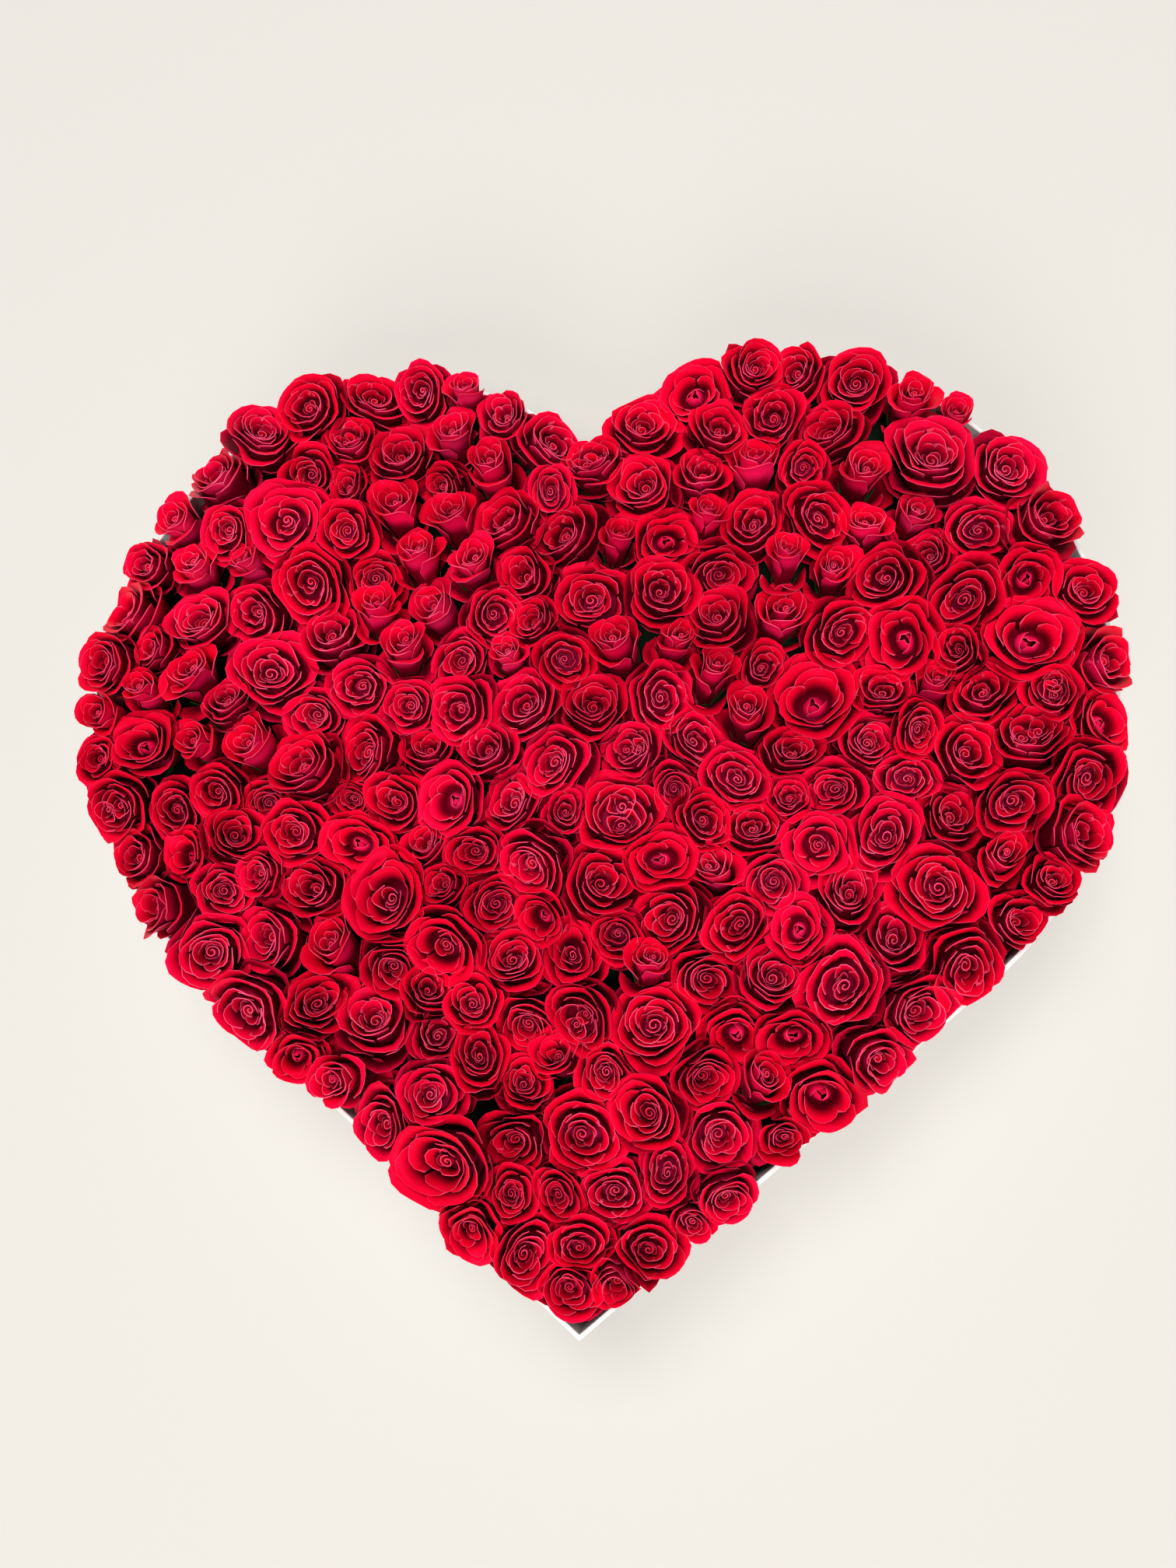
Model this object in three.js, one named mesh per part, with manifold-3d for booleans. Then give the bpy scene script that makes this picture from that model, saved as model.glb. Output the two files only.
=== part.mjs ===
// Heart-shaped box of cut roses. Millimetres, +Z up, the box stands on z = 0.
// The heart lies flat with its tip towards -Y and its lobes towards +Y.
import * as THREE from 'three';
import { mergeVertices } from 'three/addons/utils/BufferGeometryUtils.js';
import Module from 'manifold-3d';

const wasm = await Module();
wasm.setup();

// Half of the heart's outline: a straight side from the tip, a wide arc, then a tighter arc to the notch
const HEART_WIDTH = 683;
const HEART_LENGTH = 635;
const SIDE_ANGLE = 49.7;
const SIDE_LENGTH = 335;
const WIDE_RADIUS = 243;
const WIDE_TURN = 110;
const TIGHT_RADIUS = 176;
const WIDE_STEPS = 11;
const TIGHT_STEPS = 8;

// Box, liner and foam
const BOARD = 3;
const WALL_HEIGHT = 120;
const GAP = 0.3;
const LINER_HEIGHT = 96;
const LINER_THICK = 0.7;
const FOAM_TOP = 84;

// Stems and the holes they stand in
const STEM_RADIUS = 2.2;
const STEM_TIP = 50;
const HOLE_RADIUS = 2.9;
const SEAM_CLEAR = 5;

// Rose heads
const ROSE_COUNT = 236;
const HEAD_TOP = 143;
const HEAD_TOP_SPREAD = 5;
const MEAN_RADIUS = 18.6;
const WIDE_SHARE = 1.4;
const HEAD_SIZES = [
  { upTo: 0.2, least: 0.72, range: 0.12 },
  { upTo: 0.86, least: 0.88, range: 0.24 },
  { upTo: 1, least: 1.12, range: 0.14 },
];
const PACKING_ROUNDS = 400;
const PACKING_PUSH = 0.35;
const LIP_SPREAD = 1.5;
const LIP_REACH = 1.7;
const EDGE_SPREAD = 1.12;
const OVERHANG = 3;
const PETALS = 6;
const SMALL_CORNER = 50;
const INNER_PETALS = 4;
const SHOULDER_SIDES = 5;
const ROUND_SIDES = 12;
const EDGE_LEAN = 0.22;
const FREE_LEAN = 0.11;
const WIDE_RAISE = 3;
const UPPER_HALF = 60;
const UPPER_BUDS = 0.22;
const LOWER_BUDS = 0.08;
const RIM_SLOPE = 0.5;
const RIM_CLEAR = 1.5;
const BUNCH_SIZE = 5;
const BUNCH_LEAST = 3;
const BUNCH_MOST = 7;
const REACH_GAP = 7;
const NOTCH_LINE = 200;
const NEIGHBOUR_DISTANCE = 95;

// A head's form, as shares of its depth below the top or of its lip's radius
const HEAD_DEPTH = 24;
const HEAD_DEPTH_PER_RADIUS = 0.85;
const PIVOT_DEPTH = 0.4;
const SHOULDER_DEPTH = 0.6;
const SHOULDER_SHARE = 0.62;
const VALLEY_SHARE = 0.58;
const INNER_LIP_SHARE = 0.48;
const LIP_DROP = 6;
const VALLEY_DROP = 6;
const PIT_SHARE = 0.4;
const BUD_SHARE = 0.8;
const BUD_DROP = 3;
const BUD_PIT_SHARE = 0.25;
const NECK_RADIUS = 2.8;
const REACH_SHARE = 0.36;

// The widest heads, placed as they lie in the photo: x, y
const WIDE_HEADS = [
  [-78, -209], [-209, 104], [8, 148], [26, 3], [163, -103], [-202, 209],
  [151, 73], [222, -45], [-121, -50], [228, 230], [48, -129], [284, 109],
  [-212, -118],
];

// Seeded random numbers from 0 to 1
let seed = 52506;
function random() {
  seed = (seed * 16807) % 2147483647;
  return seed / 2147483647;
}

// Heart outline, inset by some distance. It runs from the tip to the notch on the +X side.
function halfOutline(inset) {
  const side = THREE.MathUtils.degToRad(SIDE_ANGLE);
  const heading = Math.PI / 2 - side;
  const points = [new THREE.Vector2(0, inset / Math.sin(side))];
  const along = new THREE.Vector2(Math.cos(heading), Math.sin(heading));
  const inward = new THREE.Vector2(-along.y, along.x);
  const sideEnd = along.clone().multiplyScalar(SIDE_LENGTH);
  const wideCentre = sideEnd.clone().addScaledVector(inward, WIDE_RADIUS);
  const turn = THREE.MathUtils.degToRad(WIDE_TURN);
  arcPoints(points, wideCentre, WIDE_RADIUS - inset, heading, heading + turn, WIDE_STEPS);
  const join = heading + turn;
  const tightCentre = wideCentre.clone();
  tightCentre.x += (WIDE_RADIUS - TIGHT_RADIUS) * Math.sin(join);
  tightCentre.y -= (WIDE_RADIUS - TIGHT_RADIUS) * Math.cos(join);
  const radius = TIGHT_RADIUS - inset;
  const notch = Math.PI + Math.asin(tightCentre.x / radius);
  arcPoints(points, tightCentre, radius, join, notch, TIGHT_STEPS);
  points[points.length - 1].x = 0;
  for (const point of points) {
    point.y -= HEART_LENGTH / 2;
  }
  return points;
}

// Adds points on an arc; the headings are those of the outline there
function arcPoints(points, centre, radius, from, to, steps) {
  const first = points.length === 1 ? 0 : 1;
  for (let i = first; i <= steps; i += 1) {
    const heading = from + (to - from) * i / steps;
    points.push(new THREE.Vector2(
      centre.x + radius * Math.sin(heading),
      centre.y - radius * Math.cos(heading),
    ));
  }
}

function fullOutline(inset) {
  const right = halfOutline(inset);
  const left = right.slice(1, -1).reverse().map((point) => new THREE.Vector2(-point.x, point.y));
  return right.concat(left);
}

// Upright block over an outline
function block(outline, bottom, top) {
  const options = { depth: top - bottom, bevelEnabled: false };
  const geometry = new THREE.ExtrudeGeometry(new THREE.Shape(outline), options);
  geometry.translate(0, 0, bottom);
  return geometry;
}

function toManifold(geometry) {
  geometry.deleteAttribute('normal');
  geometry.deleteAttribute('uv');
  const merged = mergeVertices(geometry, 1e-4);
  return new wasm.Manifold(new wasm.Mesh({
    numProp: 3,
    vertProperties: new Float32Array(merged.attributes.position.array),
    triVerts: new Uint32Array(merged.index.array),
  }));
}

function toGeometry(manifold) {
  const mesh = manifold.getMesh();
  const geometry = new THREE.BufferGeometry();
  geometry.setAttribute('position', new THREE.BufferAttribute(mesh.vertProperties, 3));
  geometry.setIndex(new THREE.BufferAttribute(mesh.triVerts, 1));
  return geometry;
}

function addMesh(group, name, manifold, material) {
  const geometry = toGeometry(manifold);
  geometry.computeVertexNormals();
  const mesh = new THREE.Mesh(geometry, material);
  mesh.name = name;
  group.add(mesh);
}

function matte(colour, roughness) {
  return new THREE.MeshStandardMaterial({ color: colour, roughness, metalness: 0 });
}

// Nearest point of one half outline to a place
function nearestOn(outline, x, y) {
  const place = new THREE.Vector2(x, y);
  let best = null;
  for (let i = 0; i + 1 < outline.length; i += 1) {
    const edge = outline[i + 1].clone().sub(outline[i]);
    const along = place.clone().sub(outline[i]).dot(edge) / edge.lengthSq();
    const point = outline[i].clone().addScaledVector(edge, THREE.MathUtils.clamp(along, 0, 1));
    const distance = point.distanceTo(place);
    if (!best || distance < best.distance) {
      best = { point, distance };
    }
  }
  return best;
}

const rightRim = halfOutline(0);
const leftRim = rightRim.map((point) => new THREE.Vector2(-point.x, point.y));

// Counts the rim's edges to the right of a place
function insideHeart(x, y) {
  let inside = false;
  for (let i = 0; i < rightRim.length; i += 1) {
    const a = rightRim[i];
    const b = rightRim[(i + 1) % rightRim.length];
    const crosses = (a.y > y) !== (b.y > y);
    if (crosses && Math.abs(x) < (b.x - a.x) * (y - a.y) / (b.y - a.y) + a.x) {
      inside = !inside;
    }
  }
  return inside;
}

// Heads of seeded sizes are strewn in the heart, then pushed apart until they lie snugly
function layRoses() {
  const wide = MEAN_RADIUS * WIDE_SHARE;
  const roses = WIDE_HEADS.map(([x, y]) => ({ x, y, radius: wide, fixed: true }));
  while (roses.length < ROSE_COUNT) {
    const x = (random() - 0.5) * HEART_WIDTH;
    const y = (random() - 0.5) * HEART_LENGTH;
    if (!insideHeart(x, y)) {
      continue;
    }
    const draw = random();
    const size = HEAD_SIZES.find((entry) => draw <= entry.upTo);
    const radius = MEAN_RADIUS * (size.least + size.range * random());
    roses.push({ x, y, radius, fixed: false });
  }
  for (let round = 0; round < PACKING_ROUNDS; round += 1) {
    pushApart(roses);
    for (const rose of roses) {
      pushInside(rose);
    }
  }
  return roses;
}

function pushApart(roses) {
  for (let i = 0; i < roses.length; i += 1) {
    for (let j = i + 1; j < roses.length; j += 1) {
      const a = roses[i];
      const b = roses[j];
      const dx = b.x - a.x;
      const dy = b.y - a.y;
      const want = a.radius + b.radius;
      const square = dx * dx + dy * dy;
      if (square >= want * want) {
        continue;
      }
      const distance = Math.sqrt(square) + 1e-6;
      const push = PACKING_PUSH * (want - distance) / distance;
      if (!a.fixed) {
        a.x -= dx * push;
        a.y -= dy * push;
      }
      if (!b.fixed) {
        b.x += dx * push;
        b.y += dy * push;
      }
    }
  }
}

// Keeps a head's lip from hanging more than a little past the rim
function pushInside(rose) {
  if (rose.fixed) {
    return;
  }
  const within = insideHeart(rose.x, rose.y);
  for (const rim of [rightRim, leftRim]) {
    const near = nearestOn(rim, rose.x, rose.y);
    const keep = rose.radius * EDGE_SPREAD - OVERHANG;
    const distance = within ? near.distance : -near.distance;
    if (distance < keep) {
      const step = (keep - distance) / (distance || 1e-6);
      rose.x += (rose.x - near.point.x) * step;
      rose.y += (rose.y - near.point.y) * step;
    }
    if (!within) {
      break;
    }
  }
}

// Gives each rose its height, its lean and the planes it must stay behind
function dressRoses(roses) {
  for (const rose of roses) {
    rose.lip = rose.radius * LIP_SPREAD;
    rose.top = HEAD_TOP + HEAD_TOP_SPREAD * (2 * random() - 1) + (rose.fixed ? WIDE_RAISE : 0);
    rose.depth = HEAD_DEPTH + HEAD_DEPTH_PER_RADIUS * rose.radius;
    rose.spin = random() * Math.PI * 2;
    rose.bud = random() < (rose.y > UPPER_HALF ? UPPER_BUDS : LOWER_BUDS) && !rose.fixed;
    rose.rim = [rightRim, leftRim].map((rim) => {
      const near = nearestOn(rim, rose.x, rose.y);
      return {
        x: (near.point.x - rose.x) / near.distance,
        y: (near.point.y - rose.y) / near.distance,
        distance: near.distance,
      };
    });
    const heading = random() * Math.PI * 2;
    const lean = FREE_LEAN * Math.sqrt(random());
    rose.lean = new THREE.Vector2(Math.cos(heading) * lean, Math.sin(heading) * lean);
    const nearest = rose.rim[0].distance < rose.rim[1].distance ? rose.rim[0] : rose.rim[1];
    const edge = THREE.MathUtils.clamp(2 - nearest.distance / rose.radius, 0, 1);
    rose.lean.x = rose.lean.x * (1 - edge) + nearest.x * EDGE_LEAN * edge;
    rose.lean.y = rose.lean.y * (1 - edge) + nearest.y * EDGE_LEAN * edge;
  }
  for (const rose of roses) {
    rose.walls = roses.filter((other) => other !== rose && apart(rose, other) < NEIGHBOUR_DISTANCE)
      .map((other) => dividingPlane(rose, other));
    rose.stem = stemPlace(rose);
  }
}

function apart(a, b) {
  return Math.hypot(a.x - b.x, a.y - b.y);
}

// Upright plane between two heads, nearer to the smaller one
function dividingPlane(rose, other) {
  const distance = apart(rose, other);
  const reach = (distance * distance + rose.radius ** 2 - other.radius ** 2) / (2 * distance);
  return {
    other,
    x: (other.x - rose.x) / distance,
    y: (other.y - rose.y) / distance,
    reach: reach - GAP / 2,
  };
}

// A stem stands under its head's base and clear of the foam's seam
function stemPlace(rose) {
  const below = rose.depth * (1 - PIVOT_DEPTH);
  const place = new THREE.Vector2(rose.x - rose.lean.x * below, rose.y - rose.lean.y * below);
  if (Math.abs(place.x) < SEAM_CLEAR) {
    place.x = rose.x < 0 ? -SEAM_CLEAR : SEAM_CLEAR;
  }
  return place;
}

// How far a head may spread in a direction before it meets a neighbour
function roomTowards(rose, angle) {
  let room = rose.lip;
  for (const wall of rose.walls) {
    const facing = Math.cos(angle) * wall.x + Math.sin(angle) * wall.y;
    if (facing > 1e-6) {
      room = Math.min(room, wall.reach / facing);
    }
  }
  return room;
}

// Moves a corner towards the rose's centre until it is clear of its neighbours and of the rim.
// Above the rim the petals may lean out over it; a rose may reach into its own parent.
function clampCorner(rose, corner, parent = null) {
  const x = corner.x - rose.x;
  const y = corner.y - rose.y;
  let scale = 1;
  for (const wall of rose.walls) {
    const out = x * wall.x + y * wall.y;
    if (wall.other !== parent && out > wall.reach) {
      scale = Math.min(scale, wall.reach / out);
    }
  }
  for (const rim of rose.rim) {
    const out = x * rim.x + y * rim.y;
    const above = corner.z - WALL_HEIGHT - RIM_CLEAR;
    const allowed = Math.max(rim.distance - BOARD - RIM_CLEAR + RIM_SLOPE * above, 1);
    if (out > allowed) {
      scale = Math.min(scale, allowed / out);
    }
  }
  corner.x = rose.x + x * scale;
  corner.y = rose.y + y * scale;
  return corner;
}

// Cuts a polygon back to the near side of a plane given by its unit normal and reach
function cutBack(polygon, plane) {
  const kept = [];
  polygon.forEach((point, i) => {
    const next = polygon[(i + 1) % polygon.length];
    const here = point.x * plane.x + point.y * plane.y - plane.reach;
    const there = next.x * plane.x + next.y * plane.y - plane.reach;
    if (here <= 0) {
      kept.push(point);
    }
    if (here < 0 !== there < 0) {
      kept.push(point.clone().lerp(next, here / (here - there)));
    }
  });
  return kept;
}

// The corner that a polygon would miss least, and the area it would lose
function leastCorner(corners) {
  const losses = corners.map((corner, i) => {
    const before = corners[(i + corners.length - 1) % corners.length];
    const after = corners[(i + 1) % corners.length];
    return corner.clone().sub(before).cross(after.clone().sub(corner)) / 2;
  });
  const loss = Math.min(...losses);
  return { index: losses.indexOf(loss), loss };
}

// The few corners, seen from the head's centre, that fill most of the room it has at the lip
function lipCorners(rose, reach, height) {
  const above = height - WALL_HEIGHT - RIM_CLEAR;
  const rims = rose.rim.map((rim) => (
    { x: rim.x, y: rim.y, reach: rim.distance - BOARD - RIM_CLEAR + RIM_SLOPE * above }
  ));
  let corners = evenDirections(ROUND_SIDES, rose.spin).map((angle) => (
    new THREE.Vector2(Math.cos(angle) * reach, Math.sin(angle) * reach)
  ));
  for (const plane of [...rose.walls, ...rims]) {
    corners = cutBack(corners, plane);
  }
  let least = leastCorner(corners);
  while (corners.length > PETALS || (corners.length > PETALS - 1 && least.loss < SMALL_CORNER)) {
    corners.splice(least.index, 1);
    least = leastCorner(corners);
  }
  return corners;
}

// Ring of lip corners, lower where the head leans
function lipRing(rose, reach, height) {
  return lipCorners(rose, reach, height).map((offset) => {
    const fall = rose.lean.x * offset.x + rose.lean.y * offset.y;
    const corner = new THREE.Vector3(rose.x + offset.x, rose.y + offset.y, height - fall);
    return clampCorner(rose, corner);
  });
}

function evenDirections(count, phase) {
  return Array.from({ length: count }, (_, i) => phase + i * Math.PI * 2 / count);
}

// A ring of corners round the leaning axis of a head
function headRing(rose, sides, radius, height, phase) {
  const ring = [];
  const pivot = rose.top - rose.depth * PIVOT_DEPTH;
  for (const angle of evenDirections(sides, phase)) {
    const spread = radius * roomTowards(rose, angle) / rose.lip;
    const x = Math.cos(angle) * spread;
    const y = Math.sin(angle) * spread;
    const rise = height - pivot;
    const corner = new THREE.Vector3(
      rose.x + x + rose.lean.x * rise,
      rose.y + y + rose.lean.y * rise,
      height - rose.lean.x * x - rose.lean.y * y,
    );
    ring.push(clampCorner(rose, corner));
  }
  return ring;
}

function stemRing(rose, radius, height, phase) {
  const ring = [];
  for (let i = 0; i < 3; i += 1) {
    const angle = phase + i * Math.PI * 2 / 3;
    const x = rose.stem.x + Math.cos(angle) * radius;
    const y = rose.stem.y + Math.sin(angle) * radius;
    ring.push(new THREE.Vector3(x, y, height));
  }
  return ring;
}

// Corners of one rose from the stem's tip up over the petals' lips and down into the heart of the bloom
function roseRings(rose) {
  const lip = rose.lip * (rose.bud ? BUD_SHARE : 1);
  const reach = rose.bud ? lip : rose.radius * LIP_REACH;
  const lipHeight = rose.top - (rose.bud ? BUD_DROP : LIP_DROP);
  const shoulderHeight = rose.top - rose.depth * SHOULDER_DEPTH;
  const inner = rose.radius > MEAN_RADIUS ? INNER_PETALS + 1 : INNER_PETALS;
  const phase = rose.spin + Math.PI / SHOULDER_SIDES;
  return [
    stemRing(rose, STEM_RADIUS, STEM_TIP, rose.spin),
    stemRing(rose, NECK_RADIUS, rose.top - rose.depth, rose.spin),
    headRing(rose, SHOULDER_SIDES, rose.lip * SHOULDER_SHARE, shoulderHeight, rose.spin),
    lipRing(rose, reach, lipHeight),
    headRing(rose, inner, lip * VALLEY_SHARE, lipHeight - VALLEY_DROP, rose.spin),
    headRing(rose, inner, lip * INNER_LIP_SHARE, rose.top, phase),
  ];
}

// Where a low petal of one rose presses into the body of the rose it is bunched with
function reachCorner(rose, parent) {
  const height = parent.top - parent.depth * SHOULDER_DEPTH;
  const rise = parent.depth * (PIVOT_DEPTH - SHOULDER_DEPTH);
  const away = apart(rose, parent);
  const x = parent.x + parent.lean.x * rise;
  const y = parent.y + parent.lean.y * rise;
  const pull = parent.radius * REACH_SHARE / away;
  return new THREE.Vector3(x + (rose.x - parent.x) * pull, y + (rose.y - parent.y) * pull, height);
}

// Neighbours may be bunched, but not across the notch
function canReach(rose, parent) {
  if (apart(rose, parent) > rose.radius + parent.radius + REACH_GAP) {
    return false;
  }
  if (Math.max(rose.y, parent.y) > NOTCH_LINE && rose.x * parent.x < 0) {
    return false;
  }
  const corner = reachCorner(rose, parent);
  const before = corner.clone();
  return clampCorner(rose, corner, parent).distanceTo(before) < 1e-6;
}

// Headings of a ring's corners from its middle, each larger than the one before, and the first again
function headings(ring, start) {
  const middle = new THREE.Vector3();
  ring.forEach((corner) => middle.addScaledVector(corner, 1 / ring.length));
  const turns = [];
  for (let i = 0; i <= ring.length; i += 1) {
    const corner = ring[(start + i) % ring.length];
    let heading = Math.atan2(corner.y - middle.y, corner.x - middle.x);
    while (i > 0 && heading <= turns[i - 1]) {
      heading += Math.PI * 2;
    }
    turns.push(heading);
  }
  return turns;
}

// Joins two rings with triangles, turning with whichever side comes next
function bandTriangles(triangles, lower, upper) {
  const low = headings(lower, 0);
  const first = upper.map((corner, index) => headings(upper, index)[0])
    .map((heading) => Math.abs(Math.atan2(Math.sin(heading - low[0]), Math.cos(heading - low[0]))));
  const start = first.indexOf(Math.min(...first));
  const high = headings(upper, start);
  const shift = Math.round((high[0] - low[0]) / (Math.PI * 2)) * Math.PI * 2;
  let i = 0;
  let j = 0;
  while (i < lower.length || j < upper.length) {
    const below = lower[i % lower.length];
    const above = upper[(start + j) % upper.length];
    const lowerIsNext = j >= upper.length || (
      i < lower.length && low[i] + low[i + 1] <= high[j] + high[j + 1] - 2 * shift
    );
    if (lowerIsNext) {
      triangles.push([below, lower[(i + 1) % lower.length], above]);
      i += 1;
    } else {
      triangles.push([below, upper[(start + j + 1) % upper.length], above]);
      j += 1;
    }
  }
}

// Draws the belly's facet below the first two shoulder corners out to a point
function addReach(triangles, shoulder, point) {
  const index = triangles.findIndex((triangle) => (
    triangle.includes(shoulder[0]) && triangle.includes(shoulder[1])
  ));
  const [a, b, c] = triangles[index];
  triangles.splice(index, 1, [a, b, point], [b, c, point], [c, a, point]);
}

function roseManifold(rose) {
  const rings = roseRings(rose);
  const triangles = [];
  const tip = rings[0];
  triangles.push([tip[0], tip[2], tip[1]]);
  for (let i = 0; i + 1 < rings.length; i += 1) {
    bandTriangles(triangles, rings[i], rings[i + 1]);
  }
  if (rose.parent) {
    addReach(triangles, rings[2], reachCorner(rose, rose.parent));
  }
  const last = rings[rings.length - 1];
  const centre = new THREE.Vector3();
  last.forEach((corner) => centre.addScaledVector(corner, 1 / last.length));
  centre.z -= rose.lip * (rose.bud ? BUD_PIT_SHARE : PIT_SHARE);
  last.forEach((corner, i) => triangles.push([corner, last[(i + 1) % last.length], centre]));
  const geometry = new THREE.BufferGeometry();
  geometry.setFromPoints(triangles.flat());
  geometry.setIndex([...Array(triangles.length * 3).keys()]);
  return toManifold(geometry);
}

// Gathers neighbours into bunches; each rose but the first reaches into one already there
function gatherBunches(roses) {
  const bunches = [];
  const order = [...roses].sort((a, b) => a.y - b.y);
  const free = new Set(order);
  for (const first of order) {
    if (!free.has(first)) {
      continue;
    }
    free.delete(first);
    const bunch = [first];
    let next = findNext(bunch, free);
    while (next && bunch.length < BUNCH_SIZE) {
      tie(next.rose, next.parent);
      bunch.push(next.rose);
      free.delete(next.rose);
      next = findNext(bunch, free);
    }
    bunches.push(bunch);
  }
  return mergeSmall(bunches);
}

// Turns a rose so that one of its facets looks at the rose that it is bunched with
function tie(rose, parent) {
  rose.parent = parent;
  rose.spin = Math.atan2(parent.y - rose.y, parent.x - rose.x) - Math.PI / SHOULDER_SIDES;
}

function findNext(bunch, free) {
  let best = null;
  for (const rose of free) {
    for (const parent of bunch) {
      const distance = apart(rose, bunch[0]) + 0.3 * apart(rose, parent);
      if ((!best || distance < best.distance) && canReach(rose, parent)) {
        best = { rose, parent, distance };
      }
    }
  }
  return best;
}

// A bunch of one or two joins the bunch beside it, rose by rose
function mergeSmall(bunches) {
  const kept = bunches.filter((bunch) => bunch.length >= BUNCH_LEAST);
  for (const small of bunches.filter((bunch) => bunch.length < BUNCH_LEAST)) {
    const left = new Set(small);
    small.forEach((rose) => {
      rose.parent = null;
    });
    for (const bunch of kept) {
      let next = findNext(bunch, left);
      while (next && bunch.length < BUNCH_MOST) {
        tie(next.rose, next.parent);
        bunch.push(next.rose);
        left.delete(next.rose);
        next = findNext(bunch, left);
      }
    }
    for (const rose of left) {
      kept.push([rose]);
    }
  }
  return kept;
}

// Triangular holes in the foam, one round each stem
function stemHoles(roses) {
  const triangles = [];
  for (const rose of roses) {
    const low = stemRing(rose, HOLE_RADIUS, STEM_TIP - GAP, rose.spin);
    const high = stemRing(rose, HOLE_RADIUS, FOAM_TOP + 5, rose.spin);
    triangles.push([low[0], low[2], low[1]], [high[0], high[1], high[2]]);
    for (let i = 0; i < 3; i += 1) {
      const k = (i + 1) % 3;
      triangles.push([low[i], low[k], high[k]], [low[i], high[k], high[i]]);
    }
  }
  const geometry = new THREE.BufferGeometry();
  geometry.setFromPoints(triangles.flat());
  geometry.setIndex([...Array(triangles.length * 3).keys()]);
  return toManifold(geometry);
}

const group = new THREE.Group();
group.name = 'heart_rose_box';

const roses = layRoses();
dressRoses(roses);
const bunches = gatherBunches(roses);

// Box: a floor board inside a heart-shaped wall
const board = matte('#f3efec', 0.7);
const floorInset = BOARD + GAP;
addMesh(group, 'box_base', toManifold(block(fullOutline(floorInset), 0, BOARD)), board);
const wallSolid = toManifold(block(fullOutline(0), 0, WALL_HEIGHT))
  .subtract(toManifold(block(fullOutline(BOARD), -1, WALL_HEIGHT + 1)));
addMesh(group, 'box_wall', wallSolid, matte('#f6f2ef', 0.65));

// Liner: a tray of dark film against the wall
const linerBottom = BOARD + GAP;
const linerSolid = toManifold(block(fullOutline(floorInset), linerBottom, LINER_HEIGHT))
  .subtract(toManifold(block(
    fullOutline(floorInset + LINER_THICK), linerBottom + LINER_THICK, LINER_HEIGHT + 1,
  )));
addMesh(group, 'liner', linerSolid, matte('#1c1d1f', 0.45));

// Foam: a left and a right half with a plain hole for every stem
const foamInset = floorInset + LINER_THICK + GAP;
const foamBottom = linerBottom + LINER_THICK + GAP;
const foamSolid = toManifold(block(fullOutline(foamInset), foamBottom, FOAM_TOP))
  .subtract(stemHoles(roses));
const foamMaterial = matte('#2f4a2c', 0.95);
for (const [name, sign] of [['foam_left', -1], ['foam_right', 1]]) {
  const half = new THREE.BoxGeometry(HEART_WIDTH, HEART_LENGTH * 2, WALL_HEIGHT * 2);
  half.translate(sign * (HEART_WIDTH / 2 + GAP / 2), 0, 0);
  addMesh(group, name, foamSolid.intersect(toManifold(half)), foamMaterial);
}

// Roses: a bunch of neighbours in each node, in three reds
const reds = ['#c40a2c', '#a80622', '#d11441'];
bunches.forEach((bunch, index) => {
  let solid = roseManifold(bunch[0]);
  for (const rose of bunch.slice(1)) {
    solid = solid.add(roseManifold(rose));
  }
  const name = `roses_${String(index + 1).padStart(2, '0')}`;
  addMesh(group, name, solid, matte(reds[index % 3], 0.55));
});

export default group;
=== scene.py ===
import math
import random
import types
import bmesh
import bpy
import numpy
from mathutils import Matrix, Vector


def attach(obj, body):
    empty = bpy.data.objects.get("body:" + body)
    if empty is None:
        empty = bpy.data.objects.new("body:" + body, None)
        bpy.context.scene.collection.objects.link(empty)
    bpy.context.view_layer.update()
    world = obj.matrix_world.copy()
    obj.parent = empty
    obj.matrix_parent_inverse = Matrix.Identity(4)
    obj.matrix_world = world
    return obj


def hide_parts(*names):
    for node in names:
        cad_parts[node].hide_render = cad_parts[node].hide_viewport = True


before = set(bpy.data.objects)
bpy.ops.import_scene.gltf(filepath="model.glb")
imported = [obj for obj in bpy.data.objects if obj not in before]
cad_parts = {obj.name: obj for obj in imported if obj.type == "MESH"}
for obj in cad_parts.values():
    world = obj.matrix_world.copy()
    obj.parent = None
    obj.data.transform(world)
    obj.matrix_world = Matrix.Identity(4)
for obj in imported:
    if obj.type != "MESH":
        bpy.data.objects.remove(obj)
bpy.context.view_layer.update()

# The box wall: grey board 3 mm thick, bent to a heart and wrapped in matt white paper.
# The paper is folded over the rim and glued down inside, so both edges of the rim are soft.
MM = 0.001
HEART_LENGTH = 635
SIDE_ANGLE = 49.7
SIDE_LENGTH = 335
WIDE_RADIUS = 243
WIDE_TURN = 110
TIGHT_RADIUS = 176
WIDE_STEPS = 11
TIGHT_STEPS = 8
BOARD = 3
WALL_HEIGHT = 120
WALL_FINENESS = 4
PAPER_FOLD = 0.9
FOLD_STEPS = 3
TINY = 1e-6
CREASE = math.radians(50)


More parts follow.
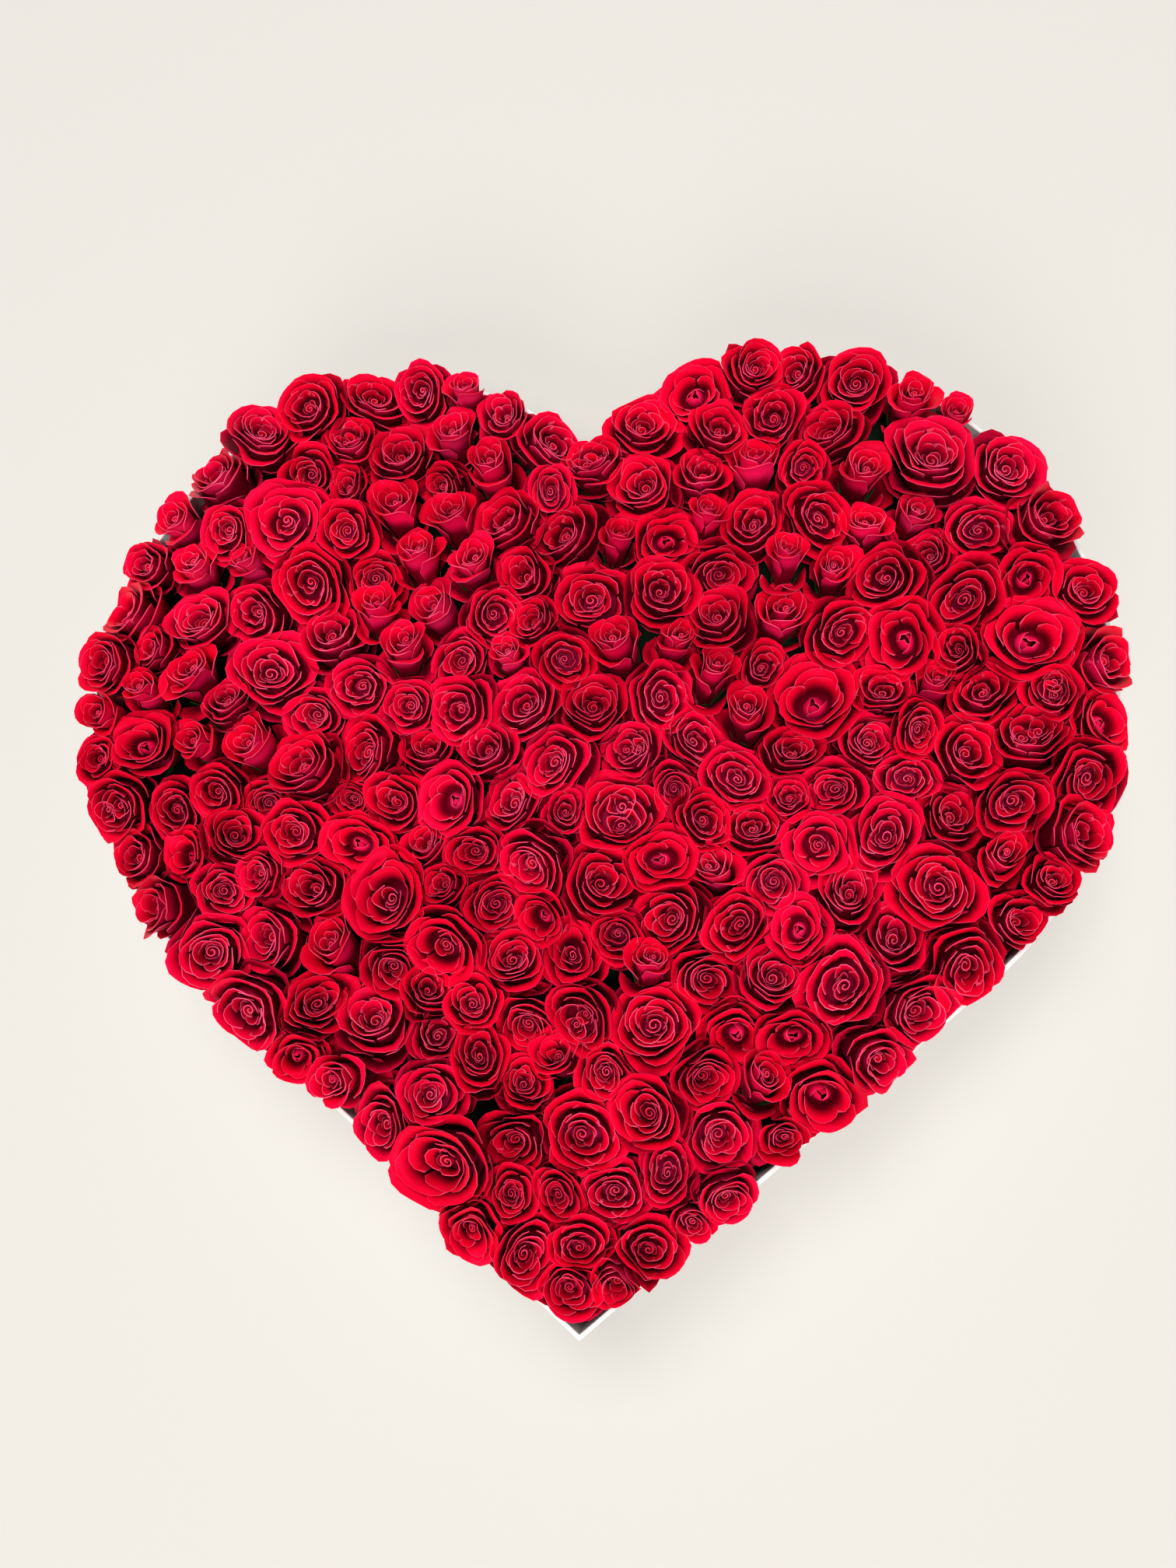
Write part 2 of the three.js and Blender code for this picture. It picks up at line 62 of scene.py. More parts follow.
def half_outline(inset, finer=1):
    """Right half of the heart in mm, from the tip to the notch, moved inwards by the inset."""
    side = math.radians(SIDE_ANGLE)
    heading = math.pi / 2 - side
    join = heading + math.radians(WIDE_TURN)
    along = (math.cos(heading), math.sin(heading))
    wide = (
        along[0] * SIDE_LENGTH - along[1] * WIDE_RADIUS,
        along[1] * SIDE_LENGTH + along[0] * WIDE_RADIUS,
    )
    tight = (
        wide[0] + (WIDE_RADIUS - TIGHT_RADIUS) * math.sin(join),
        wide[1] - (WIDE_RADIUS - TIGHT_RADIUS) * math.cos(join),
    )
    radius = TIGHT_RADIUS - inset
    notch = math.pi + math.asin(tight[0] / radius)
    arcs = [
        (wide, WIDE_RADIUS - inset, heading, join, WIDE_STEPS * finer, 0),
        (tight, radius, join, notch, TIGHT_STEPS * finer, 1),
    ]
    points = [(0.0, inset / math.sin(side))]
    for centre, reach, start, end, steps, first in arcs:
        for step in range(first, steps + 1):
            turn = start + (end - start) * step / steps
            points.append((centre[0] + reach * math.sin(turn), centre[1] - reach * math.cos(turn)))
    points[-1] = (0.0, points[-1][1])
    return [(x, y - HEART_LENGTH / 2) for x, y in points]


def linear(colour):
    """Linear colour from an sRGB hex value."""
    parts = [int(colour[i:i + 2], 16) / 255 for i in (1, 3, 5)]
    return [c / 12.92 if c <= 0.04045 else ((c + 0.055) / 1.055) ** 2.4 for c in parts] + [1.0]


def add_node(material, kind, settings=None, links=None):
    """Adds a shader node. Each link gives an input the output of another node, as (node, output)."""
    made = material.node_tree.nodes.new("ShaderNode" + kind)
    for name, value in (settings or {}).items():
        if isinstance(name, str) and hasattr(made, name):
            setattr(made, name, value)
        else:
            made.inputs[name].default_value = value
    for name, (source, output) in (links or {}).items():
        material.node_tree.links.new(source.outputs[output], made.inputs[name])
    return made


def new_material(name):
    material = bpy.data.materials.new(name)
    material.use_nodes = True
    material.node_tree.nodes.clear()
    return material


def finish_material(material, settings, links):
    """The surface shader and the material's output."""
    surface = add_node(material, "BsdfPrincipled", settings, links)
    add_node(material, "OutputMaterial", links={"Surface": (surface, "BSDF")})


def new_piece(name, bm, materials):
    """Turns a bmesh into a smooth-shaded piece with crisp creases, which rides on the root."""
    mesh = bpy.data.meshes.new(name)
    bm.to_mesh(mesh)
    bm.free()
    for material in materials:
        mesh.materials.append(material)
    mesh.shade_smooth()
    mesh.set_sharp_from_angle(angle=CREASE)
    piece = bpy.data.objects.new(name, mesh)
    bpy.context.scene.collection.objects.link(piece)
    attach(piece, "root")
    return piece


# Matt uncoated wrapping paper: fine fibre grain and faint clouds, a little greyer where it is cloudy.
# The grain is drawn 0.6 mm wide, coarser than real fibres, so that it shows.
PAPER_GRAIN = 0.6
PAPER_CLOUD = 70


def paper_material(name, colour, grey):
    material = new_material(name)
    place = add_node(material, "TexCoord")
    cloud = add_node(
        material, "TexNoise", {"Scale": 1000 / PAPER_CLOUD, "Detail": 3.0}, {"Vector": (place, "Object")}
    )
    patch = add_node(
        material, "MapRange", {"From Min": 0.4, "From Max": 0.8, "To Max": 0.6}, {"Value": (cloud, "Fac")}
    )
    tone = add_node(
        material, "Mix", {"data_type": "RGBA", 6: linear(colour), 7: linear(grey)}, {0: (patch, "Result")}
    )
    fibre = add_node(
        material, "TexNoise", {"Scale": 1000 / PAPER_GRAIN, "Detail": 3.0, "Roughness": 0.7},
        {"Vector": (place, "Object")},
    )
    relief = add_node(
        material, "Bump", {"Strength": 0.3, "Distance": 0.15 * MM}, {"Height": (fibre, "Fac")}
    )
    finish_material(
        material, {"Roughness": 0.6, "Specular IOR Level": 0.35},
        {"Base Color": (tone, 2), "Normal": (relief, "Normal")},
    )
    return material


def edge_loop(bm, outline, height):
    verts = [bm.verts.new((x * MM, y * MM, height * MM)) for x, y in outline]
    return [bm.edges.new((verts[i - 1], verts[i])) for i in range(len(verts))]


def whole(half):
    return half + [(-x, y) for x, y in reversed(half[1:-1])]


white_paper = paper_material("matt_white_wrapping_paper", "#EAE7E4", "#DCD8D3")

bm = bmesh.new()
outside = edge_loop(bm, whole(half_outline(0, WALL_FINENESS)), 0)
inside = edge_loop(bm, whole(half_outline(BOARD, WALL_FINENESS)), 0)
foot = bmesh.ops.bridge_loops(bm, edges=outside + inside)["faces"]
grown = bmesh.ops.extrude_face_region(bm, geom=foot)["geom"]
raised = [item for item in grown if isinstance(item, bmesh.types.BMVert)]
bmesh.ops.translate(bm, verts=raised, vec=(0, 0, WALL_HEIGHT * MM))
bmesh.ops.recalc_face_normals(bm, faces=bm.faces)
folds = [
    edge for edge in bm.edges
    if abs(edge.verts[0].co.z - edge.verts[1].co.z) < TINY and edge.calc_face_angle(0) > CREASE
]
bmesh.ops.bevel(
    bm, geom=folds, offset=PAPER_FOLD * MM, affect="EDGES", segments=FOLD_STEPS,
    profile=0.5, material=-1,
)
wall = new_piece("box_wall_wrapped", bm, [white_paper])
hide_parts("box_wall")

# The floor board: the same grey board under a slightly greyer lining paper, let in between the walls.
# Only its underside can be seen.
floor_paper = paper_material("matt_grey_lining_paper", "#E6E2DC", "#D2CCC4")
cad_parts["box_base"].material_slots[0].material = floor_paper

# The liner: a tray of thin dark film that keeps the wet foam off the paper. It shows inside the rim.
# Blown polyethylene film: smooth, half glossy, with shallow wrinkles about 25 mm apart.
WRINKLE = 25
film = new_material("dark_polyethylene_film")
place = add_node(film, "TexCoord")
wrinkle = add_node(
    film, "TexNoise", {"Scale": 1000 / WRINKLE, "Detail": 2.0, "Distortion": 0.6},
    {"Vector": (place, "Object")},
)
relief = add_node(film, "Bump", {"Strength": 0.5, "Distance": 1.2 * MM}, {"Height": (wrinkle, "Fac")})
finish_material(
    film, {"Base Color": linear("#1B1D20"), "Roughness": 0.32, "IOR": 1.5}, {"Normal": (relief, "Normal")}
)
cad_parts["liner"].material_slots[0].material = film

# The foam: two blocks of wet floral foam cut to the heart, which the stems are pushed into.
# Phenolic foam: dull dark green, darkened further as painted shade since it shows only in the gaps deep
# between the heads; fine open cells that are drawn 1.2 mm wide so that they show.
CELL = 1.2
DAMP = 45
foam = new_material("wet_phenolic_foam")
place = add_node(foam, "TexCoord")
cells = add_node(foam, "TexVoronoi", {"Scale": 1000 / CELL}, {"Vector": (place, "Object")})
damp = add_node(foam, "TexNoise", {"Scale": 1000 / DAMP, "Detail": 3.0}, {"Vector": (place, "Object")})
tone = add_node(
    foam, "Mix", {"data_type": "RGBA", 6: linear("#1F3520"), 7: linear("#0F1F11")}, {0: (damp, "Fac")}
)
relief = add_node(foam, "Bump", {"Strength": 0.8, "Distance": 0.5 * MM}, {"Height": (cells, "Distance")})
finish_material(
    foam, {"Roughness": 0.9, "Specular IOR Level": 0.2},
    {"Base Color": (tone, 2), "Normal": (relief, "Normal")},
)
for name in ("foam_left", "foam_right"):
    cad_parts[name].material_slots[0].material = foam

# Where the roses stand: cut roses of mixed sizes, pushed into the foam until their heads press together.
# The widest lie as in the photo. The others are strewn by a seeded rule and pushed apart, in the same
# way and with the same draws as in the part's source, so each stands in its own hole.
SEED = 52506
HEART_WIDTH = 683
ROSE_COUNT = 236
HEAD_TOP = 143
HEAD_TOP_SPREAD = 5
MEAN_RADIUS = 18.6
WIDE_SHARE = 1.4
HEAD_SIZES = [(0.2, 0.72, 0.12), (0.86, 0.88, 0.24), (1, 1.12, 0.14)]
PACKING_ROUNDS = 400
CROWDED_ROUNDS = 60
PACKING_PUSH = 0.35
NEAR_MARGIN = 15
EDGE_SPREAD = 1.12
OVERHANG = 3
EDGE_LEAN = 0.22
FREE_LEAN = 0.11
WIDE_RAISE = 3
UPPER_HALF = 60
UPPER_BUDS = 0.22
LOWER_BUDS = 0.08
HEAD_DEPTH = 24
HEAD_DEPTH_PER_RADIUS = 0.85
PIVOT_DEPTH = 0.4
NEIGHBOUR_DISTANCE = 95
SEAM_CLEAR = 5
STEM_TIP = 50
WIDE_HEADS = [
    (-78, -209), (-209, 104), (8, 148), (26, 3), (163, -103), (-202, 209),
    (151, 73), (222, -45), (-121, -50), (228, 230), (48, -129), (284, 109),
    (-212, -118),
]


def seeded_numbers(seed):
    while True:
        seed = seed * 16807 % 2147483647
        yield seed / 2147483647


drawn = seeded_numbers(SEED)
right_rim = numpy.array(half_outline(0))
left_rim = right_rim * (-1, 1)


def nearest_on(rim, places):
    """Nearest point of one half of the rim to each place, and the distance."""
    start = rim[:-1]
    edge = rim[1:] - start
    away = places[:, None] - start
    along = (away[..., 0] * edge[:, 0] + away[..., 1] * edge[:, 1]) / (edge[:, 0] ** 2 + edge[:, 1] ** 2)
    points = start + edge * numpy.clip(along, 0, 1)[..., None]
    offset = points - places[:, None]
    distance = numpy.sqrt(offset[..., 0] ** 2 + offset[..., 1] ** 2)
    rows = numpy.arange(len(places))
    best = distance.argmin(1)
    return points[rows, best], distance[rows, best]


def inside_heart(places):
    x, y = abs(places[:, 0:1]), places[:, 1:2]
    start = right_rim
    end = numpy.roll(right_rim, -1, 0)
    crosses = (start[:, 1] > y) != (end[:, 1] > y)
    rise = numpy.where(end[:, 1] == start[:, 1], 1, end[:, 1] - start[:, 1])
    beyond = x < (end[:, 0] - start[:, 0]) * (y - start[:, 1]) / rise + start[:, 0]
    return (crosses & beyond).sum(1) % 2 == 1


def push_apart(x, y, radius, fixed, pairs):
    for i, j in pairs:
        dx = x[j] - x[i]
        dy = y[j] - y[i]
        want = radius[i] + radius[j]
        square = dx * dx + dy * dy
        if square >= want * want:
            continue
        distance = math.sqrt(square) + TINY
        push = PACKING_PUSH * (want - distance) / distance
        if not fixed[i]:
            x[i] -= dx * push
            y[i] -= dy * push
        if not fixed[j]:
            x[j] += dx * push
            y[j] += dy * push


def push_inside(places, radius, free):
    """Keeps each lip from hanging more than a little past the rim."""
    within = inside_heart(places)
    keep = radius * EDGE_SPREAD - OVERHANG
    for rim, active in ((right_rim, free), (left_rim, free & within)):
        point, near = nearest_on(rim, places)
        distance = numpy.where(within, near, -near)
        moves = active & (distance < keep)
        step = (keep - distance) / numpy.where(distance == 0, TINY, distance)
        places = places + numpy.where(moves[:, None], (places - point) * step[:, None], 0)
    return places


def lay_roses():
    places = [(float(x), float(y)) for x, y in WIDE_HEADS]
    radii = [MEAN_RADIUS * WIDE_SHARE] * len(WIDE_HEADS)
    while len(places) < ROSE_COUNT:
        x = (next(drawn) - 0.5) * HEART_WIDTH
        y = (next(drawn) - 0.5) * HEART_LENGTH
        if not inside_heart(numpy.array([(x, y)]))[0]:
            continue
        size = next(drawn)
        least, more = next((least, more) for up_to, least, more in HEAD_SIZES if size <= up_to)
        radii.append(MEAN_RADIUS * (least + more * next(drawn)))
        places.append((x, y))
    places = numpy.array(places)
    radius = numpy.array(radii)
    fixed = [i < len(WIDE_HEADS) for i in range(ROSE_COUNT)]
    free = ~numpy.array(fixed)
    for turn in range(PACKING_ROUNDS):
        reach = radius[:, None] + radius + (NEAR_MARGIN if turn > CROWDED_ROUNDS else HEART_WIDTH)
        apart = places[:, None] - places
        close = numpy.triu(numpy.hypot(apart[..., 0], apart[..., 1]) < reach, 1)
        x, y = places[:, 0].tolist(), places[:, 1].tolist()
        push_apart(x, y, radii, fixed, numpy.argwhere(close).tolist())
        places = push_inside(numpy.array([x, y]).T, radius, free)
    return [
        types.SimpleNamespace(place=places[i], radius=radii[i], wide=fixed[i]) for i in range(ROSE_COUNT)
    ]


def dress_rose(rose, rims):
    """Gives a rose its height, its lean and its bloom, with the draws in the source's order."""
    rose.top = HEAD_TOP + HEAD_TOP_SPREAD * (2 * next(drawn) - 1) + (WIDE_RAISE if rose.wide else 0)
    rose.depth = HEAD_DEPTH + HEAD_DEPTH_PER_RADIUS * rose.radius
    rose.spin = next(drawn) * math.pi * 2
    rose.bud = next(drawn) < (UPPER_BUDS if rose.place[1] > UPPER_HALF else LOWER_BUDS) and not rose.wide
    rose.rims = [((point - rose.place) / near, near) for point, near in rims]
    heading = next(drawn) * math.pi * 2
    lean = FREE_LEAN * math.sqrt(next(drawn))
    outward, near = min(rose.rims, key=lambda rim: rim[1])
    edge = min(max(2 - near / rose.radius, 0), 1)
    rose.lean = numpy.array([math.cos(heading), math.sin(heading)]) * lean * (1 - edge)
    rose.lean += outward * EDGE_LEAN * edge
    rose.stem = rose.place - rose.lean * rose.depth * (1 - PIVOT_DEPTH)
    if abs(rose.stem[0]) < SEAM_CLEAR:
        rose.stem[0] = math.copysign(SEAM_CLEAR, rose.place[0])


roses = lay_roses()
places = numpy.array([rose.place for rose in roses])
near_right = nearest_on(right_rim, places)
near_left = nearest_on(left_rim, places)
for i, rose in enumerate(roses):
    dress_rose(rose, [(near_right[0][i], near_right[1][i]), (near_left[0][i], near_left[1][i])])

# Petals: velvety cut-rose petals. The inner face is a clear red and the back a cooler, pinker one.
# A thin pale line along the lip is a painted highlight. Painted shade darkens each petal towards a dark
# red with its depth below its lip and with its distance from the lip, most in the folds deep in the head.
# The attribute petal holds the distance from the edge, the side, the depth below the lip with any extra
# painted shade, and a tone.
EDGE_UNIT = 10
# Painted highlight: a pale line along each lip, with its width, fade and strength.
LINE_WIDTH = 0.02
LINE_FADE = 0.2
LINE_STRENGTH = 0.6
# Painted shade: how much darker a petal gets with its distance from the lip.
LIP_SHADE_FALL = 0.34
SHADE_DEPTH = 12.5
VEIN_COUNT = 46
VEIN_LENGTHS = 5
MOTTLE = 16


def petal_material(name, face, back, highlight_colour, deep):
    material = new_material(name)
    marks = add_node(material, "Attribute", {"attribute_name": "petal"})
    parts = add_node(material, "SeparateColor", links={"Color": (marks, "Color")})
    sides = add_node(
        material, "Mix", {"data_type": "RGBA", 6: linear(face), 7: linear(back)}, {0: (parts, "Green")}
    )
    place = add_node(material, "TexCoord")
    mottle = add_node(
        material, "TexNoise", {"Scale": 1000 / MOTTLE, "Detail": 2.0}, {"Vector": (place, "Object")}
    )
    mixed = add_node(
        material, "Math", {"operation": "ADD"}, {0: (mottle, "Fac"), 1: (marks, "Alpha")}
    )
    value = add_node(
        material, "MapRange", {"From Min": 0.3, "From Max": 1.6, "To Min": 0.62, "To Max": 1.0},
        {"Value": (mixed, "Value")},
    )
    toned = add_node(material, "HueSaturation", links={"Color": (sides, 2), "Value": (value, "Result")})
    # Painted shade: each petal grows darker with its depth below the lip and with its distance from the
    # lip.
    depth = add_node(
        material, "Math", {"operation": "MULTIPLY_ADD", 1: LIP_SHADE_FALL},
        {0: (parts, "Red"), 2: (parts, "Blue")},
    )
    shade_mask = add_node(
        material, "MapRange", {"interpolation_type": "SMOOTHSTEP", "From Min": 0.08, "From Max": 0.88},
        {"Value": (depth, "Value")},
    )
    # Painted highlight: the pale lip line, fading inwards from the edge and broken up in patches by the
    # mottle.
    line = add_node(
        material, "MapRange",
        {
            "interpolation_type": "SMOOTHSTEP", "From Min": LINE_WIDTH / EDGE_UNIT,
            "From Max": (LINE_WIDTH + LINE_FADE) / EDGE_UNIT, "To Min": LINE_STRENGTH, "To Max": 0.0,
        },
        {"Value": (parts, "Red")},
    )
    broken = add_node(
        material, "MapRange", {"From Min": 0.36, "From Max": 0.58, "To Min": 0.3, "To Max": 1.1},
        {"Value": (mottle, "Fac")},
    )
    highlight_amount = add_node(
        material, "Math", {"operation": "MULTIPLY"}, {0: (line, "Result"), 1: (broken, "Result")}
    )
    lined = add_node(
        material, "Mix", {"data_type": "RGBA", 7: linear(highlight_colour)}, {0: (highlight_amount, "Value"), 6: (toned, "Color")}
    )
    # Mixes towards the deep colour, a dark red that is painted shade.
    shaded = add_node(
        material, "Mix", {"data_type": "RGBA", 7: linear(deep)}, {0: (shade_mask, "Result"), 6: (lined, 2)}
    )
    stretch = add_node(
        material, "Mapping", {"Scale": (VEIN_COUNT, VEIN_LENGTHS, 1)}, {"Vector": (place, "UV")}
    )
    veins = add_node(material, "TexNoise", {"Scale": 1.0, "Detail": 2.0}, {"Vector": (stretch, "Vector")})
    relief = add_node(
        material, "Bump", {"Strength": 0.35, "Distance": 0.25 * MM}, {"Height": (veins, "Fac")}
    )
    finish_material(
        material,
        {
            "Roughness": 0.43, "Specular IOR Level": 0.42, "Specular Tint": linear("#FF3478"),
            "Sheen Weight": 0.08, "Sheen Roughness": 0.4, "Sheen Tint": linear("#FF2A5C"),
        },
        {"Base Color": (shaded, 2), "Normal": (relief, "Normal")},
    )
    return material


petal_reds = {
    "petals_scarlet": petal_material("scarlet_rose_petal", "#FC002E", "#FF145A", "#FF6490", "#660014"),
    "petals_crimson": petal_material("crimson_rose_petal", "#EA002A", "#F60C4E", "#FF5C88", "#560010"),
    "petals_cerise": petal_material("cerise_rose_petal", "#FE0238", "#FF2064", "#FF709A", "#6E001A"),
}

# Calyx and stem: the green parts of the cut rose, smooth with a waxy half-gloss, and darker in patches
# about 12 mm across. Both greens are darker than a real sepal's mid-green, as painted shade, since they
# show only deep between the heads.
STEM_PATCH = 12
green = new_material("waxy_rose_stem")
place = add_node(green, "TexCoord")
patch = add_node(
    green, "TexNoise", {"Scale": 1000 / STEM_PATCH, "Detail": 2.0}, {"Vector": (place, "Object")}
)
tone = add_node(
    green, "Mix", {"data_type": "RGBA", 6: linear("#2F4F22"), 7: linear("#1F3619")}, {0: (patch, "Fac")}
)
relief = add_node(green, "Bump", {"Strength": 0.3, "Distance": 0.4 * MM}, {"Height": (patch, "Fac")})
finish_material(
    green, {"Roughness": 0.42, "Specular IOR Level": 0.45},
    {"Base Color": (tone, 2), "Normal": (relief, "Normal")},
)

# Blooms: a rose head is a tight spiral of petals in a cup of looser ones, on a calyx with five sepals.
# A few dozen heads are modelled with a lip radius of 1, of thin petals bent from grids, and are fitted
# to each place further down.
GOLDEN_TURN = math.radians(137.5)
BLOOM_DEPTH = 1.75
BLOOM_RADIUS = 22
PETAL_THICKNESS = 0.018
STRIP_DEPTH = 0.5
PETAL_TUCK = 0.045
# How far the painted highlight on the lip is pushed back, which makes it fainter, on outer petals, hearts
# and inner strips.
OUTER_HIGHLIGHT_FADE = 0.009
HEART_HIGHLIGHT_FADE = 0.008
STRIP_HIGHLIGHT_FADE = 0.004
HEART_SHADE = 0.52
MIRRORED = 0.5
BLOOM_SEED = 7
CALYX_PLACE = -1.62
CORE_SIDES = 9
SEPALS = 5
SEPAL_WIDTH = 0.13
chance = random.Random(BLOOM_SEED)


def petal_profile(points, share):
    """Radius and height a share of the way along a petal, on a curve steered by four points."""
    rest = 1 - share
    weights = (rest ** 3, 3 * share * rest ** 2, 3 * share ** 2 * rest, share ** 3)
    return [sum(weight * point[axis] for weight, point in zip(weights, points)) for axis in (0, 1)]


def add_petal(
    bm, heading, spread, points, columns, rows, drop, ripple=0.0, tuck=0.0, highlight_fade=0.0,
    centre=(0, 0), shade=0.0,
):
    """A thin closed petal. Its points run from base to lip; its sides end lower than its middle."""
    phase = chance.uniform(0, math.pi * 2)
    beats = chance.uniform(0.8, 1.8)
    peak = chance.uniform(-0.5, 0.5)
    sharp = 1.6 * chance.random() ** 2
    tone = chance.random()

    def place_on_petal(across, along):
        share = along * (1 - drop * abs(across) ** 3)
        radius, height = petal_profile(points, share)
        wave = math.sin(across * beats * math.pi + phase) * along ** 3
        point = max(0, 1 - abs(across - peak) * 2.2) * along ** 4
        radius = radius * (1 + tuck * across) + ripple * (wave + sharp * point)
        height += ripple * 0.8 * math.cos(across * beats * 2.5 + phase) * along ** 2
        turn = heading + across * spread * (0.6 + 0.4 * along ** 0.6)
        x = centre[0] + radius * math.cos(turn)
        y = centre[1] + radius * math.sin(turn)
        return Vector((x, y, height))

    marks = bm.verts.layers.float_color["petal"]
    grid = bmesh.ops.create_grid(bm, x_segments=columns, y_segments=rows, size=1, calc_uvs=True)
    sheet = grid["verts"]
    for vert in sheet:
        across = vert.co.x
        along = 1 - (1 - (vert.co.y + 1) / 2) ** 1.6
        vert.co = place_on_petal(across, along)
        lip = (vert.co - place_on_petal(across, 1)).length
        side = (vert.co - place_on_petal(math.copysign(1, across), along)).length
        below = max(points[3][1] - vert.co.z, 0)
        # The distance from the edge places the painted lip highlight; the depth below the lip sets the
        # painted shade.
        line = min(lip, side) * BLOOM_RADIUS / EDGE_UNIT + highlight_fade
        depth = below * BLOOM_RADIUS / SHADE_DEPTH + shade
        vert[marks] = (min(line, 1), 1, min(depth, 1), tone)
    faces = list({face for vert in sheet for face in vert.link_faces})
    for face in faces:
        face.normal_update()
    shell = bmesh.ops.solidify(bm, geom=faces, thickness=PETAL_THICKNESS)["geom"]
    inner = [item for item in shell if isinstance(item, bmesh.types.BMVert)]
    for vert in inner:
        mark = vert[marks]
        vert[marks] = (mark[0], 0, mark[2], mark[3])


def cup_points(lip, top, flare, curl, belly=None, base=-1.6):
    """Profile of a full petal: out of the base, up the belly, then out to the lip."""
    belly = lip - flare if belly is None else belly
    return [(0.12, base), (belly * 1.1, base * 0.8), (lip - flare, top + curl), (lip, top)]


def strip_points(lip, top, flare):
    """Profile of the upper part of an inner petal."""
    return [
        (lip - flare * 0.6, top - STRIP_DEPTH), (lip - flare * 0.9, top - STRIP_DEPTH * 0.6),
        (lip - flare, top - STRIP_DEPTH * 0.16), (lip, top),
    ]


def add_heart(bm, size, top, turns, centre=(0, 0)):
    """The rolled innermost petal."""
    points = strip_points(size * 0.62, top, 0.01)
    heading = chance.uniform(0, math.pi * 2)
    columns = int(turns * 11)
    add_petal(bm, heading, turns * math.pi, points, columns, 1, 0.1, 0, 0.62, HEART_HIGHLIGHT_FADE, centre)


def add_inner_bud(bm, top):
    """Small closed bud that stands in the pit of an opened head."""
    heading = chance.uniform(0, math.pi * 2)
    for i in range(4):
        belly = 0.24 + 0.02 * i
        lip = (0.02 + 0.04 * i, top - 0.03 * i)
        points = [(0.1, top - 0.8), (belly, top - 0.6), (belly, top - 0.16), lip]
        add_petal(bm, heading, math.radians(76), points, 7, 4, 0.3, 0.015, PETAL_TUCK)
        heading += GOLDEN_TURN


def add_spindle(bm, rings, segments):
    """Closed round form through a column of rings, each given by its radius, height and centre."""
    loop = bmesh.ops.create_circle(bm, cap_ends=True, segments=segments, radius=1)["verts"]
    edges = list({edge for vert in loop for edge in vert.link_edges})
    loops = [loop]
    for _ in rings[1:]:
        grown = bmesh.ops.extrude_edge_only(bm, edges=edges)["geom"]
        loop = [item for item in grown if isinstance(item, bmesh.types.BMVert)]
        edges = [
            item for item in grown
            if isinstance(item, bmesh.types.BMEdge) and all(vert in loop for vert in item.verts)
        ]
        loops.append(loop)
    bmesh.ops.contextual_create(bm, geom=edges)
    for loop, (radius, height, x, y) in zip(loops, rings):
        for vert in loop:
            vert.co = (vert.co.x * radius + x, vert.co.y * radius + y, height)
    verts = [vert for loop in loops for vert in loop]
    faces = list({face for vert in verts for face in vert.link_faces})
    bmesh.ops.recalc_face_normals(bm, faces=faces)
    return verts


def add_core(bm, radius, top, girth):
    """Closed bud of unopened petals that fills the head under its spiral, coloured all over in the dark
    red of the painted shade.
    """
    marks = bm.verts.layers.float_color["petal"]
    rings = [(0.1, -1.66), (0.42 * girth, -1.3), (0.6 * girth, -0.85), (radius, top)]
    # Marked as fully in painted shade, so it takes the dark shade red.
    for vert in add_spindle(bm, [(*ring, 0, 0) for ring in rings], CORE_SIDES):
        vert[marks] = (1, 0, 1, 0)


def add_calyx(bm, girth):
    """Green swelling under the head with five narrow sepals laid against the outer petals."""
    before = set(bm.faces)
    bmesh.ops.create_cone(
        bm, cap_ends=True, segments=7, radius1=0.1, radius2=0.24, depth=0.26,
        matrix=Matrix.Translation((0, 0, CALYX_PLACE)),
    )
    for i in range(SEPALS):
        turn = math.pi * 2 * (i + chance.uniform(-0.1, 0.1)) / SEPALS
        points = [(0.16, CALYX_PLACE), (0.42 * girth, -1.6), (0.78 * girth, -1.3), (0.86 * girth, -1.0)]
        sheet = bmesh.ops.create_grid(bm, x_segments=1, y_segments=3, size=1)["verts"]
        for vert in sheet:
            along = (vert.co.y + 1) / 2
            radius, height = petal_profile(points, along)
            width = SEPAL_WIDTH * vert.co.x * (1 - along) ** 0.7 + 0.004 * vert.co.x
            vert.co = Vector((
                radius * math.cos(turn) - width * math.sin(turn),
                radius * math.sin(turn) + width * math.cos(turn), height - 0.02,
            ))
        faces = list({face for vert in sheet for face in vert.link_faces})
        for face in faces:
            face.normal_update()
        bmesh.ops.solidify(bm, geom=faces, thickness=PETAL_THICKNESS)
    for face in set(bm.faces) - before:
        face.material_index = 1


def mix(first, last, share):
    return first + (last - first) * share


def add_strips(bm, count, lips, tops, flares, step, spread, centre=(0, 0)):
    """Inner petals wound round each other, each a little wider than the one before."""
    heading = chance.uniform(0, math.pi * 2)
    for i in range(count):
        share = i / max(count - 1, 1)
        top = mix(*tops, min(share * 1.4, 1)) + chance.uniform(-0.035, 0.025)
        lip = mix(*lips, share ** 1.1) * chance.uniform(0.94, 1.05)
        points = strip_points(lip, top, mix(*flares, share))
        middle = (centre[0] + chance.uniform(-0.03, 0.03), centre[1] + chance.uniform(-0.03, 0.03))
        # Painted shade: the innermost petals get the most extra shade, the outer ones none.
        add_petal(
            bm, heading, math.radians(spread + chance.uniform(-10, 6)), points, 8, 2,
            0.24, 0.014 + 0.018 * share, PETAL_TUCK, STRIP_HIGHLIGHT_FADE, middle, HEART_SHADE * (1 - share),
        )
        heading += step + chance.uniform(-0.15, 0.15)
    return heading


